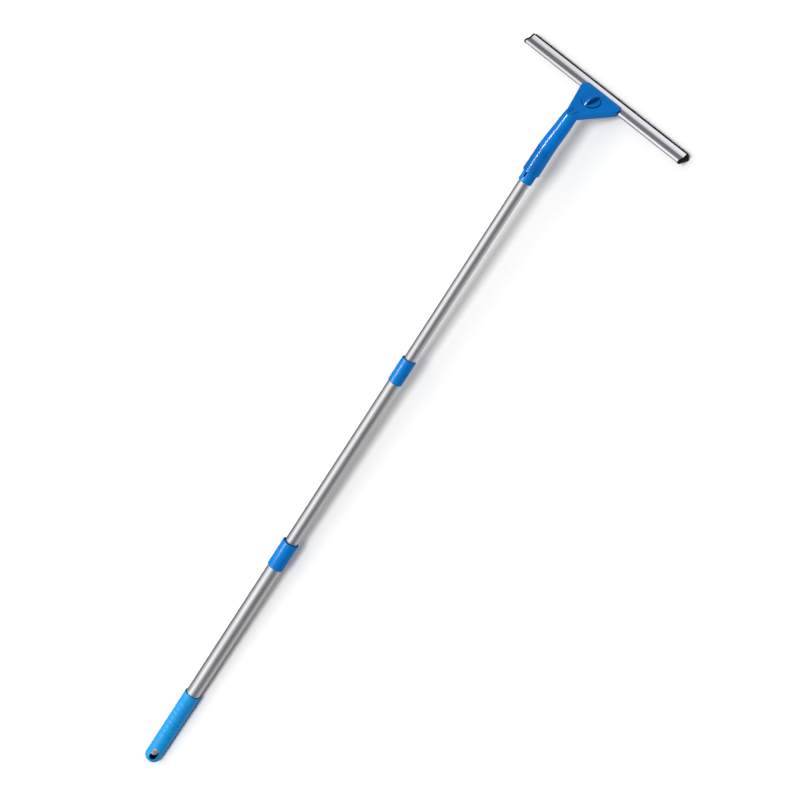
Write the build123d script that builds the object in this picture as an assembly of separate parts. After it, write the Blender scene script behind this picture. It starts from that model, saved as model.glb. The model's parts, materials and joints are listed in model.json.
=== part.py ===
"""Window squeegee on a three-section telescopic pole, lying knob side up.

Everything is built in the pole's own frame: Y runs along the pole's axis from the closed end of
the grip to the head, Z points to the knob side and X runs along the blade. The finished pieces
are then laid down together, so that the rubber's edge and the end of the grip touch the floor.
Lengths are in millimetres.
"""
from build123d import *
from math import acos, atan2, cos, degrees, hypot, radians, sin, sqrt
import os

# ---------------------------------------------------------------- pole
OUTER_TUBE_DIAMETER = 25.0
MIDDLE_TUBE_DIAMETER = 22.0
UPPER_TUBE_DIAMETER = 19.0
TUBE_WALL = 1.0
OUTER_TUBE_LENGTH = 459.5
MIDDLE_TUBE_LENGTH = 448.0
UPPER_TUBE_LENGTH = 417.0
TUBE_OVERLAP = 65.0             # how much of a section stays inside the one below when drawn out
UPPER_TUBE_OVERLAP = 55.0

# ---------------------------------------------------------------- grip
GRIP_LENGTH = 154.0
GRIP_DIAMETER = 29.0
GRIP_END_RADIUS = 11.5          # rounding of the closed end
GRIP_END_WALL = 3.0
GRIP_SIDE_WALL = 3.0            # wall of the hollow end, below the tube
GRIP_TUBE_START = 27.0          # where the outer tube seats inside the grip
GRIP_MOUTH_DEPTH = 2.5          # flared mouth round the tube
GRIP_MOUTH_FLARE = 0.9
GRIP_GROOVES = 8
GRIP_GROOVE_PITCH = 10.15
GRIP_GROOVE_WIDTH = 3.6
GRIP_GROOVE_DEPTH = 0.7
GRIP_FIRST_GROOVE = 62.4
HANG_SLOT_LENGTH = 25.0
HANG_SLOT_WIDTH = 12.5
HANG_SLOT_START = 8.0
HANG_SLOT_REAR_START = 4.0      # the rear opening reaches further round the closed end
HANG_SLOT_TURN = 35.0           # degrees from the knob side, about the pole's axis

# ---------------------------------------------------------------- collars
LOWER_COLLAR_WALL = 2.0
UPPER_COLLAR_WALL = 1.5
LOWER_COLLAR_LENGTH = 53.5
UPPER_COLLAR_LENGTH = 46.0
COLLAR_LIP = 4.0                # guide lip past the end of the tube that carries the collar
COLLAR_MOUTH_DEPTH = 3.0        # open mouth above the lip
COLLAR_MOUTH_RIM = 0.7
COLLAR_EDGE = 0.6

# ---------------------------------------------------------------- twist locks
LOCK_PLUG_LENGTH = 22.0
LOCK_FLANGE = 3.0
LOCK_CAM_LENGTH = 21.0
LOCK_CAM_FLOAT = 0.5            # end play of the cam ring on its journal
LOCK_END_FLANGE = 4.0
LOCK_JOURNAL_INSET = 2.0        # journal radius below the plug's
LOCK_ECCENTRICITY = 0.6
LOCK_CAM_SLOT = 3.0
LOCK_PIN_DIAMETER = 3.0
LOCK_PIN_RECESS = 0.15          # pin ends below the tube's surface

# ---------------------------------------------------------------- fits
RUNNING_CLEARANCE = 0.08
SLIDING_CLEARANCE = 0.3
SOCKET_CLEARANCE = 0.1
FACE_CLEARANCE = 0.25
LARGE = 200.0                   # reach of a cutting body that is larger than the piece it cuts
PASS = 1.0                      # how far a cutting body passes the face that it opens

# ---------------------------------------------------------------- tip adapter
ADAPTER_WALL = 2.15             # collar over the upper tube's end
ADAPTER_TUBE_SEAT = 7.0         # how far the tube's end goes into the collar
ADAPTER_SPIGOT_LENGTH = 32.0
ADAPTER_SPIGOT_WALL = 2.0
ADAPTER_BARREL_WALL = 2.6
ADAPTER_LENGTH = 66.0
ADAPTER_NOSE_TAPER = 2.2
ADAPTER_NOSE_LENGTH = 8.0
ADAPTER_SLOTS = 4
ADAPTER_SLOT_WIDTH = 3.0
ADAPTER_SLOT_LENGTH = 34.0
ADAPTER_SLOT_START = 8.0        # from the adapter's lower end
ADAPTER_SHOWING = 17.5          # length left below the handle's mouth

# ---------------------------------------------------------------- head: handle
SOCKET_DEPTH = 50.0
HANDLE_MOUTH_RADIUS = 14.4
HANDLE_BARREL_LENGTH = 46.0
HANDLE_BARREL_END_RADIUS = 13.8
HANDLE_MOUTH_EDGE = 0.8
# The bending neck: (distance past the barrel, height of the middle, dip in degrees, radius).
NECK_SECTIONS = (
    (7.0, -0.8, 5.0, 13.6),
    (22.0, -2.9, 9.0, 13.3),
    (40.0, -6.0, 14.0, 12.8),
    (58.0, -7.9, 28.0, 12.2),
)
NECK_END_POSITION = 22.0        # where the neck runs out under the plate, from the plate's root
NECK_END_DEPTH = 4.2
NECK_END_RADIUS = 8.2
RIB_COUNT = 16
RIB_PITCH = 2.7
RIB_GROOVE = 1.4
RIB_DEPTH = 0.6
RIB_START = 2.6                 # from the mouth
RIB_PATCH_ANGLE = 57.0          # width of a ribbed patch, in degrees
RIB_PATCH_TURNS = (32, 148, 212, 328)

# ---------------------------------------------------------------- head: plate
PLATE_TILT = 54.0               # degrees that the plate dips below the pole's axis
PLATE_Y = 109.8                 # from the handle's mouth to the plate's root
PLATE_Z = 1.7
PLATE_THICKNESS = 2.2
NECK_HALF_WIDTH = 6.2
JAW_HALF_WIDTH = 40.0
SIDE_LENGTH = 66.5              # where the slanted sides end
LIP_START = 74.5
LIP_END = 81.9
LIP_DROP = 3.0
LIP_OVERLAP = 2.0               # of the lip's moulding with the plate behind it
# The lip's rounded nose: (back from its end, height above its drop).
LIP_NOSE = ((0.4, 0.4), (0.0, -0.3), (0.9, -1.0), (2.5, -1.3))
CORNER_RADIUS = 8.0
TOP_EDGE = 0.9
SKIRT_DEPTH = 10.3
SKIRT_WALL = 2.2
NECK_RIDGES = 5
NECK_RIDGE_PITCH = 2.7
NECK_RIDGE_START = 3.0
NECK_RIDGE_RADIUS = 13.0
NECK_RIDGE_WIDTH = 1.0
NECK_RIDGE_HEIGHT = 0.6
NECK_RIDGE_ANGLE = 70.0

# ---------------------------------------------------------------- head: clamp
KNOB_POSITION = 49.0            # along the plate from its root
KNOB_DIAMETER = 29.0
KNOB_DISC = 2.4
KNOB_GAP = 0.9                  # ring gap round the disc
KNOB_POCKET = 1.6
KNOB_WASHER = 0.5
KNOB_FIN_HEIGHT = 8.0
KNOB_FIN_LENGTH = 31.0
KNOB_FIN_OFFSET = 1.2           # of the fin's middle towards the blade
KNOB_FIN_WIDTH = 5.2
KNOB_BOSS_WALL = 1.8
KNOB_BOSS_DEPTH = 4.4
STUD_DIAMETER = 6.0
STUD_INTO_KNOB = 4.0
STUD_CHAMFER = 0.5
CROSS_PIN_DIAMETER = 2.4
CROSS_PIN_LENGTH = 17.0
JAW_THICKNESS = 2.0
JAW_TOP = 6.4                   # depth of the lower jaw's top below the plate's top
JAW_REAR = 27.0
JAW_STEP = 66.2                 # where the lower jaw steps down under the channel
JAW_SHELF_BACK = 1.6            # the shelf under the channel, from the channel's back
JAW_SHELF_SHORT = 0.6           # and short of the channel's lower sheet
JAW_SIDE_GAP = 0.6
JAW_RIDGE_WIDTH = 1.0
JAW_RIDGE_GAP = 1.5             # clear of the stud's surface at the ridge's middle
JAW_OPENING = 1.8
FULCRUM_WIDTH = 2.5
FULCRUM_LENGTH = 26.0
SPRING_WASHER_RADIUS = 6.5
SPRING_WASHER_SHEET = 0.5

# ---------------------------------------------------------------- blade
BLADE_LENGTH = 350.0
END_PLUG = 3.0
CHANNEL_BACK = 68.6             # along the plate, to the channel's back
CHANNEL_DROP = 5.7              # of that point, below the plate's top
CHANNEL_RISE = 13.4             # degrees that the channel's nose rises from the plate
CHANNEL_WIDTH = 20.4
CHANNEL_SHEET = 1.4
BULB_RADIUS = 3.4
BULB_WALL = 1.3
BULB_PROUD = 0.8                # bulb's crest above the channel's chord
CHANNEL_NOSE_RISE = 14.0        # slope of the hollow top at the nose, in degrees
DIP_POSITION = 11.3
DIP_DEPTH = 1.57
CHANNEL_FLOOR = 11.4            # how far the channel's lower sheet reaches forward
BEAD_RADIUS = 1.0
BEAD_POSITION = 8.3
BEAD_HEIGHT = -3.42
RUBBER_REACH = 15.3             # from the channel's top to the wiping edge
RUBBER_EDGE = 3.6               # thickness at the wiping edge
RUBBER_FRONT = 1.7              # how far the rubber stands in front of the channel's nose
RUBBER_NOSE_GAP = 0.3           # between the rubber and the channel's nose
RUBBER_SHOULDER = 0.9           # front top below the channel's chord
RUBBER_WAIST = 0.3              # front face drawn back at its waist
RUBBER_WAIST_DOWN = 10.0        # waist, knee and heel are measured down from the chord
RUBBER_FLARE = 1.0              # wiping edge in front of the front's top
RUBBER_KNEE = 3.4               # knee of the back face, behind the channel's nose
RUBBER_KNEE_DOWN = 9.2
RUBBER_HEEL = 0.5               # back face in front of the channel's lower sheet
RUBBER_HEEL_DOWN = 6.4
RUBBER_THROAT = 0.9             # start of the slope above the web, from the lower sheet
RUBBER_CREST = 3.2              # where that slope meets the hollow top's underside
RUBBER_WEB = 1.2
WEB_DROP = 0.43                 # web's middle below the bead's
WEB_OVERLAP = 1.0               # of the web with the rubber in front of it
PLUG_SHELL = 0.35               # end plug's outline outside the channel's
PLUG_PEG = 7.0
PLUG_SHORT = 0.8                # end plug's lower edge above the wiping edge

# ---------------------------------------------------------------- derived places along the pole
OUTER_TUBE_TOP = GRIP_TUBE_START + OUTER_TUBE_LENGTH
MIDDLE_TUBE_START = OUTER_TUBE_TOP - TUBE_OVERLAP
MIDDLE_TUBE_TOP = MIDDLE_TUBE_START + MIDDLE_TUBE_LENGTH
UPPER_TUBE_START = MIDDLE_TUBE_TOP - UPPER_TUBE_OVERLAP
UPPER_TUBE_TOP = UPPER_TUBE_START + UPPER_TUBE_LENGTH
LOWER_COLLAR_TOP = OUTER_TUBE_TOP + COLLAR_LIP + COLLAR_MOUTH_DEPTH
UPPER_COLLAR_TOP = MIDDLE_TUBE_TOP + COLLAR_LIP + COLLAR_MOUTH_DEPTH
LOCK_LENGTH = LOCK_FLANGE + LOCK_CAM_LENGTH + 2 * LOCK_CAM_FLOAT + LOCK_END_FLANGE
ADAPTER_START = UPPER_TUBE_TOP - ADAPTER_TUBE_SEAT
ADAPTER_RADIUS = UPPER_TUBE_DIAMETER / 2 + ADAPTER_WALL
MOUTH_Y = ADAPTER_START + ADAPTER_SHOWING
KNOB_RADIUS = KNOB_DIAMETER / 2
STUD_RADIUS = STUD_DIAMETER / 2
BULB_HEIGHT = BULB_PROUD - BULB_RADIUS      # bulb's centre against the channel's chord

# ---------------------------------------------------------------- local frames
# Plate frame: x across the head, y down the plate towards the blade, z out of its top.
PLATE = Plane(
    origin=(0, MOUTH_Y + PLATE_Y, PLATE_Z),
    x_dir=(1, 0, 0),
    z_dir=(0, sin(radians(PLATE_TILT)), cos(radians(PLATE_TILT))),
)
# Planes of the plate frame that hold profiles seen from the blade's right end.
SIDE = Plane(origin=(0, 0, 0), x_dir=(0, 1, 0), z_dir=(1, 0, 0))
CHANNEL = Plane(
    origin=(0, CHANNEL_BACK, -CHANNEL_DROP),
    x_dir=(0, cos(radians(CHANNEL_RISE)), sin(radians(CHANNEL_RISE))),
    z_dir=(1, 0, 0),
)


# ---------------------------------------------------------------- helpers
def polygon(points):
    """A flat face with straight edges through the points."""
    return make_face(Polyline(*points, close=True))


def turned(points):
    """A solid of revolution about the pole's axis, from (radius, place along the pole)."""
    return revolve(polygon(points), axis=Axis.Y)


def ring(inner, outer, start, end):
    """A plain ring round the pole's axis."""
    return turned([(inner, start), (outer, start), (outer, end), (inner, end)])


def pole_plane(y, z=0.0, dip=0.0):
    """The plane square to the pole's axis, or to a direction that dips below it."""
    direction = (0, cos(radians(dip)), -sin(radians(dip)))
    return Plane(origin=(0, y, z), x_dir=(1, 0, 0), z_dir=direction)


def across(profile, start, end):
    """Extrude a profile of SIDE or CHANNEL along the blade, from start to end."""
    return Pos(start, 0, 0) * extrude(profile, amount=end - start, dir=(1, 0, 0))


def plate_prism(face, low, high):
    """Extrude a face of the plate frame between two heights."""
    return Pos(0, 0, low) * extrude(face, amount=high - low)


def knob_disc(radius, low, high):
    """A disc about the knob's axis, between two heights of the plate frame."""
    return Pos(0, KNOB_POSITION, (low + high) / 2) * Cylinder(radius, high - low)


# ---------------------------------------------------------------- grip and tubes
def end_grip():
    radius = GRIP_DIAMETER / 2
    tube = OUTER_TUBE_DIAMETER / 2
    outline = [
        (0, 0),
        (radius, 0),
        (radius, GRIP_LENGTH),
        (tube + GRIP_MOUTH_FLARE, GRIP_LENGTH),
        (tube, GRIP_LENGTH - GRIP_MOUTH_DEPTH),
        (tube, GRIP_TUBE_START),
        (radius - GRIP_SIDE_WALL, GRIP_TUBE_START),
        (radius - GRIP_SIDE_WALL, GRIP_END_WALL),
        (0, GRIP_END_WALL),
    ]
    face = polygon(outline)
    end = face.vertices().sort_by_distance((radius, 0, 0))[0]
    face = fillet(end, GRIP_END_RADIUS)
    hollow = face.vertices().sort_by_distance((radius - GRIP_SIDE_WALL, GRIP_END_WALL, 0))[0]
    face = fillet(hollow, GRIP_END_RADIUS - GRIP_SIDE_WALL)
    grip = revolve(face, axis=Axis.Y)
    for number in range(GRIP_GROOVES):
        grip -= grip_groove(radius, GRIP_FIRST_GROOVE + number * GRIP_GROOVE_PITCH)
    return grip - hang_slot()


def grip_groove(radius, y):
    """A shallow round-bottomed groove: the ring that a circle sweeps round the grip."""
    half = GRIP_GROOVE_WIDTH / 2
    sweep_radius = (half**2 + GRIP_GROOVE_DEPTH**2) / (2 * GRIP_GROOVE_DEPTH)
    centre = radius - GRIP_GROOVE_DEPTH + sweep_radius
    return revolve(Pos(centre, y) * Circle(sweep_radius), axis=Axis.Y)


def hang_slot():
    """The slot to hang the pole by, right through the grip."""
    end = HANG_SLOT_START + HANG_SLOT_LENGTH
    front = Pos(HANG_SLOT_START + HANG_SLOT_LENGTH / 2) * SlotOverall(HANG_SLOT_LENGTH, HANG_SLOT_WIDTH)
    rear = Pos((HANG_SLOT_REAR_START + end) / 2) * SlotOverall(end - HANG_SLOT_REAR_START, HANG_SLOT_WIDTH)
    plane = Plane(
        origin=(0, 0, 0),
        x_dir=(0, 1, 0),
        z_dir=(sin(radians(HANG_SLOT_TURN)), 0, cos(radians(HANG_SLOT_TURN))),
    )
    # The tube starts inside the slot's upper end and stays whole: only the grip is cut.
    return extrude(plane * front, amount=GRIP_DIAMETER) + extrude(plane * rear, amount=-GRIP_DIAMETER)


def tube(diameter, start, end):
    return ring(diameter / 2 - TUBE_WALL, diameter / 2, start, end)


def collar(outer_diameter, inner_diameter, tube_top, length, wall):
    """Pressed over a tube's end, with a lip that guides the next tube."""
    seat = outer_diameter / 2
    radius = seat + wall
    top = tube_top + COLLAR_LIP + COLLAR_MOUTH_DEPTH
    lip = inner_diameter / 2 + SLIDING_CLEARANCE
    outline = [
        (seat, top - length),
        (radius - COLLAR_EDGE, top - length),
        (radius, top - length + COLLAR_EDGE),
        (radius, top - COLLAR_EDGE),
        (radius - COLLAR_EDGE, top),
        (radius - COLLAR_EDGE - COLLAR_MOUTH_RIM, top),
        (radius - COLLAR_EDGE - COLLAR_MOUTH_RIM, tube_top + COLLAR_LIP),
        (lip, tube_top + COLLAR_LIP),
        (lip, tube_top),
        (seat, tube_top),
    ]
    return turned(outline)


def lower_collar():
    bore, guided = OUTER_TUBE_DIAMETER, MIDDLE_TUBE_DIAMETER
    return collar(bore, guided, OUTER_TUBE_TOP, LOWER_COLLAR_LENGTH, LOWER_COLLAR_WALL)


def upper_collar():
    bore, guided = MIDDLE_TUBE_DIAMETER, UPPER_TUBE_DIAMETER
    return collar(bore, guided, MIDDLE_TUBE_TOP, UPPER_COLLAR_LENGTH, UPPER_COLLAR_WALL)


# ---------------------------------------------------------------- twist locks
def lock_radii(tube_diameter):
    """Plug and journal radii of a lock in the end of a tube."""
    plug = tube_diameter / 2 - TUBE_WALL
    return plug, plug - LOCK_JOURNAL_INSET


def lock_spindle(tube_diameter, start):
    """Plug in the tube's lower end, with an off-centre journal for the cam ring below it."""
    plug, journal = lock_radii(tube_diameter)
    flange = tube_diameter / 2 - FACE_CLEARANCE
    journal_end = start - LOCK_FLANGE
    journal_start = journal_end - LOCK_CAM_LENGTH - 2 * LOCK_CAM_FLOAT
    body = ring(0, plug, start, start + LOCK_PLUG_LENGTH)
    body += ring(0, flange, journal_end, start)
    body += Pos(0, 0, LOCK_ECCENTRICITY) * ring(0, journal, journal_start, journal_end)
    body += ring(0, plug - FACE_CLEARANCE, journal_start - LOCK_END_FLANGE, journal_start)
    return body - lock_pin(tube_diameter, start)


def lock_cam(tube_diameter, housing_diameter, start):
    """Slit ring that floats on the journal and fills the bore of the section below."""
    _, journal = lock_radii(tube_diameter)
    end = start - LOCK_FLANGE - LOCK_CAM_FLOAT
    outer = housing_diameter / 2 - TUBE_WALL - RUNNING_CLEARANCE
    # The journal swings a quarter turn about the pole's axis inside the ring's bore.
    shift = LOCK_ECCENTRICITY / 2
    bore = journal + LOCK_ECCENTRICITY * sqrt(0.5) + RUNNING_CLEARANCE
    cam = ring(0, outer, end - LOCK_CAM_LENGTH, end)
    cam -= Pos(shift, 0, shift) * ring(0, bore, end - 2 * LOCK_CAM_LENGTH, end + LOCK_CAM_LENGTH)
    slit = Box(LOCK_CAM_SLOT, 2 * LOCK_CAM_LENGTH, outer, align=(Align.CENTER, Align.CENTER, Align.MAX))
    return cam - Pos(0, end - LOCK_CAM_LENGTH / 2, 0) * slit


def lock_pin(tube_diameter, start):
    """Cross pin that holds the spindle in its tube."""
    length = tube_diameter - 2 * LOCK_PIN_RECESS
    pin = Cylinder(LOCK_PIN_DIAMETER / 2, length, rotation=(0, 90, 0))
    return Pos(0, start + LOCK_PLUG_LENGTH / 2, 0) * pin


def pinned_tube(diameter, start, end):
    """A tube with the pin's hole through its lower end."""
    hole = Cylinder(LOCK_PIN_DIAMETER / 2, 2 * diameter, rotation=(0, 90, 0))
    return tube(diameter, start, end) - Pos(0, start + LOCK_PLUG_LENGTH / 2, 0) * hole


# ---------------------------------------------------------------- tip adapter
def tip_adapter():
    """Slit barrel on the pole's tip, which springs in the head's socket."""
    bore = UPPER_TUBE_DIAMETER / 2 - TUBE_WALL
    seat = UPPER_TUBE_DIAMETER / 2
    inside = ADAPTER_RADIUS - ADAPTER_BARREL_WALL
    end = ADAPTER_START + ADAPTER_LENGTH
    outline = [
        (bore - ADAPTER_SPIGOT_WALL, UPPER_TUBE_TOP - ADAPTER_SPIGOT_LENGTH),
        (bore, UPPER_TUBE_TOP - ADAPTER_SPIGOT_LENGTH),
        (bore, UPPER_TUBE_TOP),
        (seat, UPPER_TUBE_TOP),
        (seat, ADAPTER_START),
        (ADAPTER_RADIUS, ADAPTER_START),
        (ADAPTER_RADIUS, end - ADAPTER_NOSE_LENGTH),
        (ADAPTER_RADIUS - ADAPTER_NOSE_TAPER, end),
        (0, end),
        (0, end - ADAPTER_BARREL_WALL),
        (inside - ADAPTER_NOSE_TAPER, end - ADAPTER_BARREL_WALL),
        (inside, end - ADAPTER_NOSE_LENGTH),
        (inside, UPPER_TUBE_TOP + ADAPTER_SPIGOT_WALL),
        (bore - ADAPTER_SPIGOT_WALL, UPPER_TUBE_TOP + ADAPTER_SPIGOT_WALL),
    ]
    adapter = turned(outline)
    middle = ADAPTER_START + ADAPTER_SLOT_START + ADAPTER_SLOT_LENGTH / 2
    slot = Box(ADAPTER_SLOT_WIDTH, ADAPTER_SLOT_LENGTH, ADAPTER_RADIUS)
    for number in range(ADAPTER_SLOTS):
        turn = Rot(0, number * 360 / ADAPTER_SLOTS, 0)
        adapter -= turn * Pos(0, middle, ADAPTER_RADIUS) * slot
    return adapter


# ---------------------------------------------------------------- head: handle
def barrel_radius(distance):
    """Radius of the handle's straight barrel at a distance from its mouth."""
    share = distance / HANDLE_BARREL_LENGTH
    return HANDLE_MOUTH_RADIUS + share * (HANDLE_BARREL_END_RADIUS - HANDLE_MOUTH_RADIUS)


def handle_solid():
    """Straight barrel, then a neck that bends down and runs in under the plate."""
    barrel = turned([
        (0, MOUTH_Y),
        (HANDLE_MOUTH_RADIUS - HANDLE_MOUTH_EDGE, MOUTH_Y),
        (HANDLE_MOUTH_RADIUS, MOUTH_Y + HANDLE_MOUTH_EDGE),
        (HANDLE_BARREL_END_RADIUS, MOUTH_Y + HANDLE_BARREL_LENGTH),
        (0, MOUTH_Y + HANDLE_BARREL_LENGTH),
    ])
    start = MOUTH_Y + HANDLE_BARREL_LENGTH
    sections = [pole_plane(start) * Circle(HANDLE_BARREL_END_RADIUS)]
    for distance, height, dip, radius in NECK_SECTIONS:
        sections.append(pole_plane(start + distance, height, dip) * Circle(radius))
    end = PLATE.from_local_coords(Vector(0, NECK_END_POSITION, -NECK_END_DEPTH))
    sections.append(pole_plane(end.Y, end.Z, PLATE_TILT) * Circle(NECK_END_RADIUS))
    neck = loft(sections)
    above_plate = PLATE.location * plate_prism(Rectangle(LARGE, LARGE), 0, LARGE)
    return (barrel + neck) - above_plate


def rib_grooves():
    """Fine transverse grooves in four patches round the handle's barrel."""
    grooves = None
    for number in range(RIB_COUNT):
        low = RIB_START + number * RIB_PITCH
        floor = barrel_radius(low + RIB_GROOVE / 2) - RIB_DEPTH
        groove = ring(floor, HANDLE_MOUTH_RADIUS + PASS, MOUTH_Y + low, MOUTH_Y + low + RIB_GROOVE)
        grooves = groove if grooves is None else grooves + groove
    patches = None
    for turn in RIB_PATCH_TURNS:
        patch = Rot(0, turn, 0) * patch_wedge()
        patches = patch if patches is None else patches + patch
    return grooves & patches


def patch_wedge():
    """A wedge about the knob side that is as wide as one ribbed patch."""
    reach = 2 * HANDLE_MOUTH_RADIUS
    side = reach * sin(radians(RIB_PATCH_ANGLE / 2))
    height = reach * cos(radians(RIB_PATCH_ANGLE / 2))
    plane = Plane(origin=(0, MOUTH_Y, 0), x_dir=(1, 0, 0), z_dir=(0, 1, 0))
    face = plane * polygon([(0, 0), (side, -height), (-side, -height)])
    return extrude(face, amount=HANDLE_BARREL_LENGTH)


# ---------------------------------------------------------------- head: plate
def plate_outline():
    """The plate seen from above: a neck that widens to the jaw, with rounded front corners."""
    points = [
        (-NECK_HALF_WIDTH, 0),
        (NECK_HALF_WIDTH, 0),
        (JAW_HALF_WIDTH, SIDE_LENGTH),
        (JAW_HALF_WIDTH, LIP_END),
        (-JAW_HALF_WIDTH, LIP_END),
        (-JAW_HALF_WIDTH, SIDE_LENGTH),
    ]
    face = polygon(points)
    corners = face.vertices().group_by(Axis.Y)[-1]
    return fillet(corners, CORNER_RADIUS)


def plate_and_skirt():
    """Top plate, its bent front lip and the side walls below it, in the plate frame."""
    outline = plate_outline()
    top = plate_prism(outline, -PLATE_THICKNESS, 0)
    rim = top.faces().sort_by(Axis.Z)[-1].edges()
    top = fillet(rim, TOP_EDGE)
    behind_lip = Pos(0, LIP_START - LARGE / 2, 0) * Box(LARGE, LARGE, LARGE)
    lip = across(SIDE * lip_profile(), -JAW_HALF_WIDTH, JAW_HALF_WIDTH)
    lip &= plate_prism(outline, -LARGE, LARGE)
    hollow = offset(outline, amount=-SKIRT_WALL)
    skirt = plate_prism(outline, -SKIRT_DEPTH, -TOP_EDGE) - plate_prism(hollow, -LARGE, LARGE)
    behind_channel = Pos(0, SIDE_LENGTH - LARGE / 2, 0) * Box(LARGE, LARGE, LARGE)
    return (top & behind_lip) + lip + (skirt & behind_channel)


def lip_profile():
    """The upper jaw: the plate's front bent down on to the channel's hollow top."""
    back = LIP_START - LIP_OVERLAP
    nose = [(LIP_END - behind, height - LIP_DROP) for behind, height in LIP_NOSE]
    under = [(LIP_START, -PLATE_THICKNESS), (back, -PLATE_THICKNESS)]
    return polygon([(back, 0), (LIP_START, 0), *nose, *under])


def neck_ridges():
    """Curved raised ridges for the thumb, on the plate's root."""
    half_angle = radians(NECK_RIDGE_ANGLE / 2)
    reach = 2 * NECK_RIDGE_RADIUS
    sector = polygon([
        (0, 0),
        (reach * sin(half_angle), -reach * cos(half_angle)),
        (-reach * sin(half_angle), -reach * cos(half_angle)),
    ])
    arc = Circle(NECK_RIDGE_RADIUS) - Circle(NECK_RIDGE_RADIUS - NECK_RIDGE_WIDTH)
    ridge = plate_prism(arc & sector, -NECK_RIDGE_HEIGHT, NECK_RIDGE_HEIGHT)
    first = NECK_RIDGE_START + NECK_RIDGE_RADIUS
    places = [Pos(0, first + number * NECK_RIDGE_PITCH, 0) for number in range(NECK_RIDGES)]
    return [place * ridge for place in places]


def head_body():
    """Handle, plate and skirt in one moulding."""
    fulcrum = Pos(0, JAW_REAR + FULCRUM_WIDTH, -JAW_TOP / 2) * Box(
        FULCRUM_LENGTH, FULCRUM_WIDTH, JAW_TOP - 2 * FACE_CLEARANCE)
    pocket_radius = KNOB_RADIUS + KNOB_GAP
    boss = knob_disc(pocket_radius + KNOB_BOSS_WALL, -KNOB_BOSS_DEPTH, -TOP_EDGE)
    plate = plate_and_skirt() + fulcrum + boss
    for ridge in neck_ridges():
        plate += ridge
    plate -= knob_disc(pocket_radius, -KNOB_POCKET, LARGE)
    plate -= knob_disc(STUD_RADIUS + FACE_CLEARANCE, -LARGE, LARGE)
    body = handle_solid() + PLATE.location * plate
    socket = ADAPTER_RADIUS + SOCKET_CLEARANCE
    body -= turned([
        (0, MOUTH_Y - PASS),
        (socket, MOUTH_Y - PASS),
        (socket, MOUTH_Y + SOCKET_DEPTH - ADAPTER_NOSE_LENGTH),
        (socket - ADAPTER_NOSE_TAPER, MOUTH_Y + SOCKET_DEPTH),
        (0, MOUTH_Y + SOCKET_DEPTH),
    ])
    return body - rib_grooves()


# ---------------------------------------------------------------- head: clamp
def knob_washer():
    low = -KNOB_POCKET
    washer = knob_disc(2 * STUD_RADIUS, low, low + KNOB_WASHER)
    return washer - knob_disc(STUD_RADIUS + FACE_CLEARANCE, -LARGE, LARGE)


def clamp_knob():
    """Disc in the plate's pocket with a raised half-round fin to turn it by."""
    base = -KNOB_POCKET + KNOB_WASHER + FACE_CLEARANCE
    top = base + KNOB_DISC
    disc = knob_disc(KNOB_RADIUS, base, top)
    disc = fillet(disc.faces().sort_by(Axis.Z)[-1].edges(), TOP_EDGE / 2)
    half = KNOB_FIN_LENGTH / 2
    arc_radius = (half**2 + KNOB_FIN_HEIGHT**2) / (2 * KNOB_FIN_HEIGHT)
    middle = KNOB_POSITION + KNOB_FIN_OFFSET
    circle = Pos(middle, top + KNOB_FIN_HEIGHT - arc_radius) * Circle(arc_radius)
    above = Pos(middle, top + KNOB_FIN_HEIGHT) * Rectangle(
        2 * KNOB_FIN_LENGTH, 2 * KNOB_FIN_HEIGHT + KNOB_DISC)
    fin = across(SIDE * (circle & above), -KNOB_FIN_WIDTH / 2, KNOB_FIN_WIDTH / 2)
    crest = fin.edges().filter_by(GeomType.CIRCLE)
    fin = fillet(crest, KNOB_FIN_WIDTH / 4)
    stud_bore = knob_disc(STUD_RADIUS, -LARGE, base + STUD_INTO_KNOB)
    return disc + fin - stud_bore


def cross_pin_height():
    """Height of the cross pin's axis: it bears up on the lower jaw's ridge."""
    return -JAW_TOP - JAW_THICKNESS - JAW_OPENING - FACE_CLEARANCE - CROSS_PIN_DIAMETER / 2


def cross_pin():
    pin = Cylinder(CROSS_PIN_DIAMETER / 2, CROSS_PIN_LENGTH, rotation=(0, 90, 0))
    return Pos(0, KNOB_POSITION, cross_pin_height()) * pin


def clamp_stud():
    """Steel stud, fast in the knob, with the cross pin through its lower end."""
    base = -KNOB_POCKET + KNOB_WASHER + FACE_CLEARANCE
    low = cross_pin_height() - CROSS_PIN_DIAMETER
    stud = knob_disc(STUD_RADIUS, low, base + STUD_INTO_KNOB)
    stud = chamfer(stud.faces().sort_by(Axis.Z)[0].edges(), STUD_CHAMFER)
    return stud - cross_pin()


def spring_washer():
    """Dished washer that pushes the lower jaw away from the boss above it."""
    low = -JAW_TOP
    high = -KNOB_BOSS_DEPTH - FACE_CLEARANCE
    bore = STUD_RADIUS + FACE_CLEARANCE
    outline = [
        (SPRING_WASHER_RADIUS, low),
        (SPRING_WASHER_RADIUS, low + SPRING_WASHER_SHEET),
        (bore, high),
        (bore, high - SPRING_WASHER_SHEET),
    ]
    plane = Plane(origin=(0, KNOB_POSITION, 0), x_dir=(1, 0, 0), z_dir=(0, -1, 0))
    axis = Axis((0, KNOB_POSITION, 0), (0, 0, 1))
    return revolve(plane * polygon(outline), axis=axis)


def channel_point(a, b):
    """A point of the channel's profile in the plate frame's (y, z)."""
    point = CHANNEL.from_local_coords(Vector(a, b, 0))
    return point.Y, point.Z


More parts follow.
